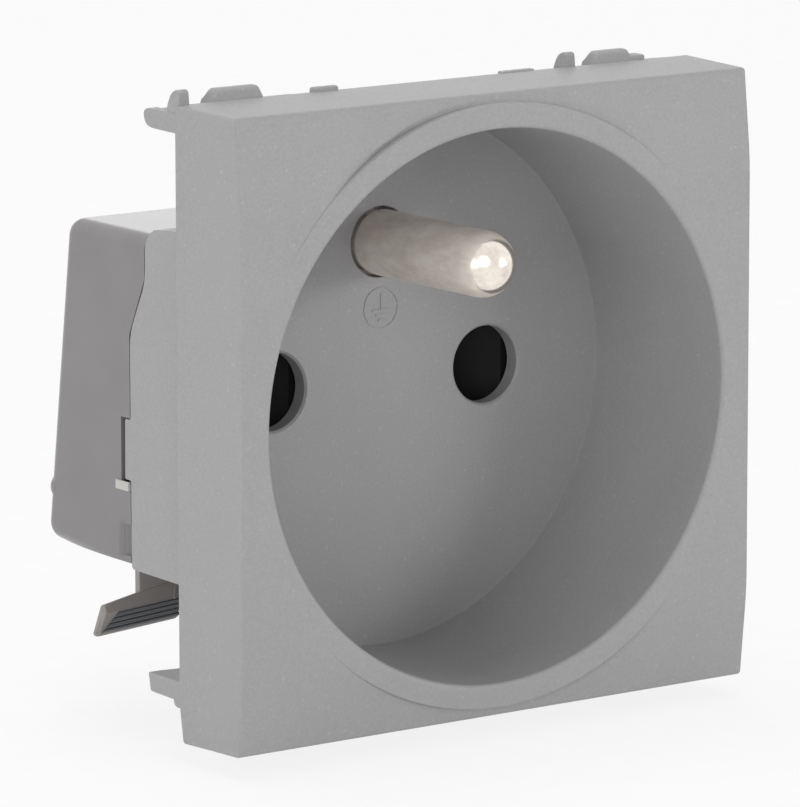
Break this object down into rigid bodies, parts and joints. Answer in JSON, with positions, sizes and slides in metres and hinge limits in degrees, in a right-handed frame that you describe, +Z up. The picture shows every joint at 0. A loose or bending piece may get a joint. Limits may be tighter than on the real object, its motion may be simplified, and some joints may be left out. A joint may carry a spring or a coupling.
{
  "type": "wall socket",
  "caption": "Square flush-mounted wall socket module with a round plug well, pin holes and a domed male earth pin",
  "frame": {"origin": "middle of the plane in which the rear face of the cover plate seats on the support frame", "axes": "X to the right as seen from the front, Y into the wall along the plug axis, Z up; earth pin at the top"},
  "size_m": [0.045, 0.0347, 0.0471],
  "materials": {
    "cover_plastic": "matte, fine metallic fleck",
    "cap_plastic": "plain satin grey",
    "carrier_plastic": "plain off-white",
    "shutter_plastic": "smooth dark grey",
    "lever_plastic": "satin blue-grey",
    "pin_nickel": "nickel plate, slightly worn",
    "contact_brass": "plain stamped brass",
    "spring_steel": "bright spring steel"
  },
  "bodies": {
    "housing": {"front_cover": "cover_plastic", "rear_cap": "cap_plastic", "earth_pin": "pin_nickel", "shutter_spring": "spring_steel", "contact_carrier": "carrier_plastic", "earth_strap": "contact_brass", "line_contact": "contact_brass", "neutral_contact": "contact_brass", "line_contact_clip": "spring_steel", "neutral_contact_clip": "spring_steel", "line_clamp_spring_a": "spring_steel", "line_clamp_spring_b": "spring_steel", "earth_clamp_spring_a": "spring_steel", "earth_clamp_spring_b": "spring_steel", "neutral_clamp_spring_a": "spring_steel", "neutral_clamp_spring_b": "spring_steel"},
    "shutter": {"shutter": "shutter_plastic"},
    "line_lever": {"line_release_lever": "lever_plastic"},
    "earth_lever": {"earth_release_lever": "lever_plastic"},
    "neutral_lever": {"neutral_release_lever": "lever_plastic"}
  },
  "joints": [
    {"name": "shutter_slide", "type": "slide", "parent": "housing", "child": "shutter", "axis": [1, 0, 0], "range_m": [0, 0.006], "stiffness_N_per_m": 60, "springref_m": -0.004, "deforming": ["shutter_spring"]},
    {"name": "line_lever_hinge", "type": "hinge", "parent": "housing", "child": "line_lever", "pos_m": [-0.0166, 0.0126, -0.00915], "axis": [1, 0, 0], "range_deg": [0, 15], "stiffness_Nm_per_rad": 0.06, "deforming": ["line_clamp_spring_a", "line_clamp_spring_b"]},
    {"name": "earth_lever_hinge", "type": "hinge", "parent": "housing", "child": "earth_lever", "pos_m": [0, 0.0126, -0.00915], "axis": [1, 0, 0], "range_deg": [0, 15], "stiffness_Nm_per_rad": 0.06, "deforming": ["earth_clamp_spring_a", "earth_clamp_spring_b"]},
    {"name": "neutral_lever_hinge", "type": "hinge", "parent": "housing", "child": "neutral_lever", "pos_m": [0.0166, 0.0126, -0.00915], "axis": [1, 0, 0], "range_deg": [0, 15], "stiffness_Nm_per_rad": 0.06, "deforming": ["neutral_clamp_spring_a", "neutral_clamp_spring_b"]}
  ]
}
